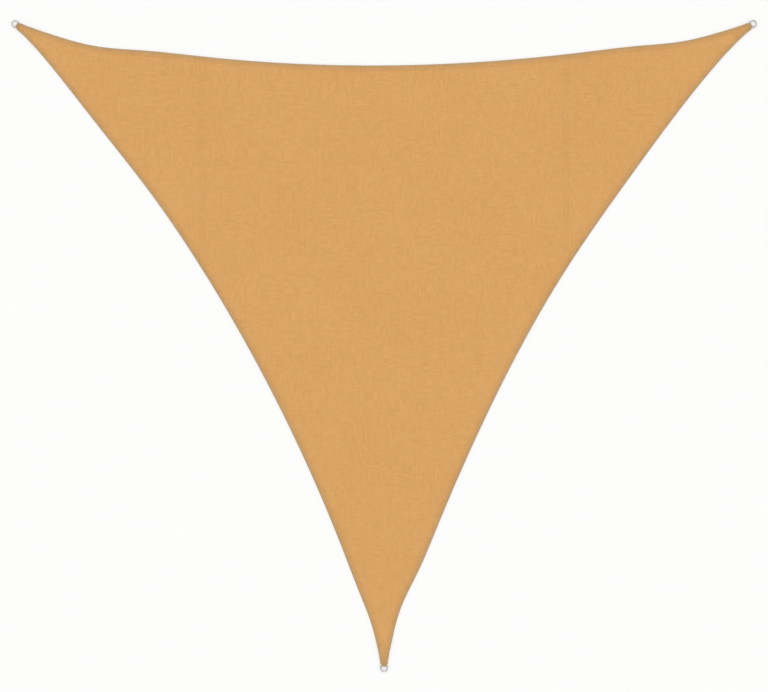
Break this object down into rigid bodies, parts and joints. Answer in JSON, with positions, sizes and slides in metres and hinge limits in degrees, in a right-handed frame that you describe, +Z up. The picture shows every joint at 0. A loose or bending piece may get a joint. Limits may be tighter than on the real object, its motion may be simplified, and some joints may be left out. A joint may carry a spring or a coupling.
{
  "type": "triangular shade sail",
  "caption": "Triangular outdoor shade sail of knitted cloth with drawn-in hemmed edges and a steel D-ring in a webbing loop at each corner, laid out flat.",
  "frame": {"origin": "on the ground under the middle of the sail's bounding box", "axes": "+Z up from the cloth's underside, +X along the straight run of the top edge, +Y from the bottom corner towards the top edge"},
  "size_m": [3.5926, 3.1414, 0.0086],
  "materials": {
    "cloth": "knitted high-density polyethylene shade cloth, sand",
    "webbing": "woven polyester webbing, sand",
    "ring_steel": "polished stainless steel"
  },
  "bodies": {
    "root": {"panel_left": "cloth", "panel_middle": "cloth", "panel_right": "cloth", "webbing_left": "webbing", "webbing_bottom": "webbing", "webbing_right": "webbing", "ring_left": "ring_steel", "ring_bottom": "ring_steel", "ring_right": "ring_steel"}
  },
  "joints": []
}
